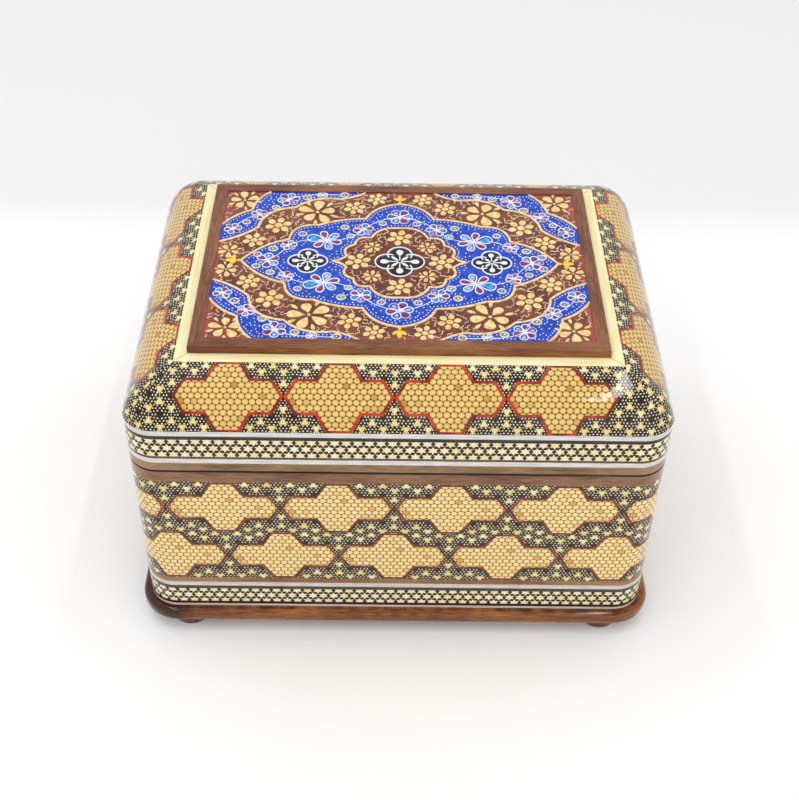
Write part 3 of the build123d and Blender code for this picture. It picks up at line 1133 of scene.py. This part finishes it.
def dress_woods():
    """The plain woods, from the plinth to the core under the marquetry."""
    round_body, round_plinth = round_the_box(body_radius), round_the_box(plinth_radius)
    # Each wood: its node, three tones, its grain, and a darkening mask: painted shade at the parting line,
    # darker left end of the plinth
    woods = (
        ("lid_wood_strip", "#5E4426", "#8C6A44", "#AC8A62", round_body, parting_painted_shade),
        ("body_rim_strip", "#562E18", "#865A3A", "#A47C58", round_body, parting_painted_shade),
        ("lower_wood_strip", "#6A3A20", "#8C6440", "#A88656", round_body, None),
        ("plinth_board", "#4A2010", "#85481E", "#B47434", round_plinth, left_end_darkening),
    )
    for node, dark, mid, light, grain, darkening in woods:
        give([node], make_wood(f"wood_{node}", dark, mid, light, grain, darkening=darkening))
    foot = make_wood("foot_wood", "#2A120A", "#50281A", "#703C22", along_x)
    give([f"foot_{row}_{side}" for row in SIDES[:2] for side in SIDES[2:]], foot)
    core_tones = ("#7C5232", "#A87848", "#C09462")
    for (label, sides), grain in zip(PAIRS.items(), (along_x, along_y)):
        walnut = make_wood(f"frame_{label}_wood", "#47200F", "#7A4224", "#A0683C", grain)
        give([f"{side}_frame" for side in sides], walnut)
        core = make_wood(f"core_{label}_wood", *core_tones, grain, roughness=0.5, coat=0.25)
        give([f"{side}_wall" for side in sides] + [f"lid_{side}_rail" for side in sides], core)
        give([f"{side}_border" for side in sides], make_border(f"pale_border_{label}", grain))
    give(["bottom_board", "lid_top_board"], make_wood("board_wood", *core_tones, along_x))


def dress_fittings(velvet):
    """The painted panel's ground, the velvet lining and the brass hinges."""
    give(["painted_panel"], make_panel_ground())
    give([f"{side}_lining" for side in SIDES] + ["lid_side_lining"], velvet)
    hinges = [f"{side}_hinge_{part}" for side in SIDES[2:] for part in ("body_leaf", "lid_leaf", "pin")]
    give(hinges + ["body_hinge_screws", "lid_hinge_screws"], make_brass())


def make_pad(node, body, facing, material):
    """A velvet pad with rolled edges and a gentle crown, in place of a plain block."""
    low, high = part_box(node)
    half_x, half_y = high[0], high[1]
    back = low[2] if facing > 0 else high[2]
    thickness = high[2] - low[2]
    mesh = bmesh.new()
    columns = []
    for i in range(pad_steps + 1):
        s = math.sin((i / pad_steps - 0.5) * math.pi)
        column = []
        for j in range(pad_steps + 1):
            t = math.sin((j / pad_steps - 0.5) * math.pi)
            rolled = 1.0
            for edge in (half_x * (1 - abs(s)), half_y * (1 - abs(t))):
                share = min(1.0, edge / (pad_roll * MM))
                rolled *= math.sqrt(1 - (1 - share) ** 2)
            ripple = noise.noise(Vector((s * half_x, t * half_y, 0.0)) * pad_ripple_scale) * pad_ripple
            swell = (pad_crown + ripple * rolled) * MM * (1 - s * s) * (1 - t * t)
            height = thickness * rolled + swell
            column.append(mesh.verts.new((half_x * s, half_y * t, back + facing * height)))
        columns.append(column)
    for first, second in zip(columns, columns[1:]):
        for j in range(pad_steps):
            mesh.faces.new((first[j], second[j], second[j + 1], first[j + 1]))
    border = columns[0] + [column[-1] for column in columns[1:-1]] + columns[-1][::-1]
    border += [column[0] for column in columns[-2:0:-1]]
    mesh.faces.new(border)
    piece = add_piece(f"{node}_velvet", mesh, material)
    for face in piece.data.polygons:
        face.use_smooth = face.loop_total == 4
    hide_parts(node)
    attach(piece, body)


def make_camera():
    """The photograph's camera."""
    yaw, pitch, roll = camera_yaw, camera_pitch, camera_roll
    forward = Vector((math.sin(yaw) * math.cos(pitch), math.cos(yaw) * math.cos(pitch), -math.sin(pitch)))
    level = Vector((math.cos(yaw), -math.sin(yaw), 0.0))
    upright = level.cross(forward)
    right = math.cos(roll) * level + math.sin(roll) * upright
    up = -math.sin(roll) * level + math.cos(roll) * upright
    data = bpy.data.cameras.new("photo_camera")
    data.sensor_width = sensor_mm
    data.lens = focal_pixels * sensor_mm / photo_height
    data.clip_start = 0.01
    camera = add_object("photo_camera", data)
    turn = Matrix((right, up, -forward)).transposed().to_4x4()
    camera.matrix_world = Matrix.Translation(Vector(camera_place) * MM) @ turn
    bpy.context.scene.camera = camera


def make_lamp(name, place, target, size, power):
    """A soft rectangular lamp aimed at a point, in metres and watts."""
    data = bpy.data.lights.new(name, "AREA")
    data.shape = "RECTANGLE"
    data.size, data.size_y = size
    data.energy = power
    lamp = add_object(name, data)
    lamp.location = place
    lamp.rotation_euler = (Vector(target) - Vector(place)).to_track_quat("-Z", "Y").to_euler()


def background_rays(tree):
    """1 for rays that show the background: to the camera, in gloss and through glass."""
    paths = tree.nodes.new("ShaderNodeLightPath")
    camera, glossy, through = (Field(tree, paths.outputs[f"Is {kind} Ray"]) for kind in BACKGROUND_RAYS)
    return most(most(camera, glossy), through)


def make_studio():
    """A bright room round a pale floor, with soft lamps and two long strips overhead."""
    bpy.context.scene.view_settings.view_transform = "Standard"
    world = bpy.data.worlds.new("studio")
    bpy.context.scene.world = world
    world.use_nodes = True
    tree = world.node_tree
    ambient = tree.nodes["Background"]
    feed(tree, ambient.inputs["Color"], "#FAFAFB")
    ambient.inputs["Strength"].default_value = ambient_strength
    seen = tree.nodes.new("ShaderNodeBackground")
    feed(tree, seen.inputs["Color"], "#F1F1F1")
    mixer = tree.nodes.new("ShaderNodeMixShader")
    tree.links.new(background_rays(tree).socket, mixer.inputs[0])
    tree.links.new(ambient.outputs[0], mixer.inputs[1])
    tree.links.new(seen.outputs[0], mixer.inputs[2])
    tree.links.new(mixer.outputs[0], tree.nodes["World Output"].inputs["Surface"])
    make_lamp("key", (-0.25, 0.2, 1.1), (0, 0, 0.05), (0.8, 0.8), 1.1)
    make_lamp("fill", (0.4, -1.0, 0.5), (0, -0.15, 0.0), (0.9, 0.4), 1.1)
    make_lamp("right_strip", (0.235, -0.27, 1.0), (0.235, -0.27, 0.0), (0.02, 0.9), 1.1)
    make_lamp("left_strip", (-0.36, -0.27, 1.0), (-0.36, -0.27, 0.0), (0.05, 0.9), 1.5)


def make_floor():
    """A large sheet of white paper, with painted shade that makes it greyer behind the box."""
    reach = 3.0
    corners = [(-reach, -reach, 0), (reach, -reach, 0), (reach, reach, 0), (-reach, reach, 0)]
    mesh = bpy.data.meshes.new("floor")
    mesh.from_pydata(corners, [], [(0, 1, 2, 3)])
    floor = add_object("floor", mesh)
    finish = Finish("floor_paper", roughness=0.75)
    # Painted shade: the paper greys from 175 to 215 mm behind the middle of the box
    painted_far_shade = finish.y.ramp(175.0, 215.0)
    near = finish.noise(0.02, detail=3.0).blend("#F6F6F7", "#FCFCFC")
    finish.set("Base Color", painted_far_shade.blend(near, "#ECECEC"))
    finish.set("Emission Color", "#FFFFFF")
    finish.set("Emission Strength", background_rays(finish.tree) * floor_glow)
    mesh.materials.append(finish.material)


velvet = make_velvet()
dress_marquetry()
dress_strips()
dress_woods()
dress_fittings(velvet)
Ornament().build()
make_pad("floor_pad", "body", 1, velvet)
make_pad("lid_lining_pad", "lid", -1, velvet)
make_camera()
make_studio()
make_floor()
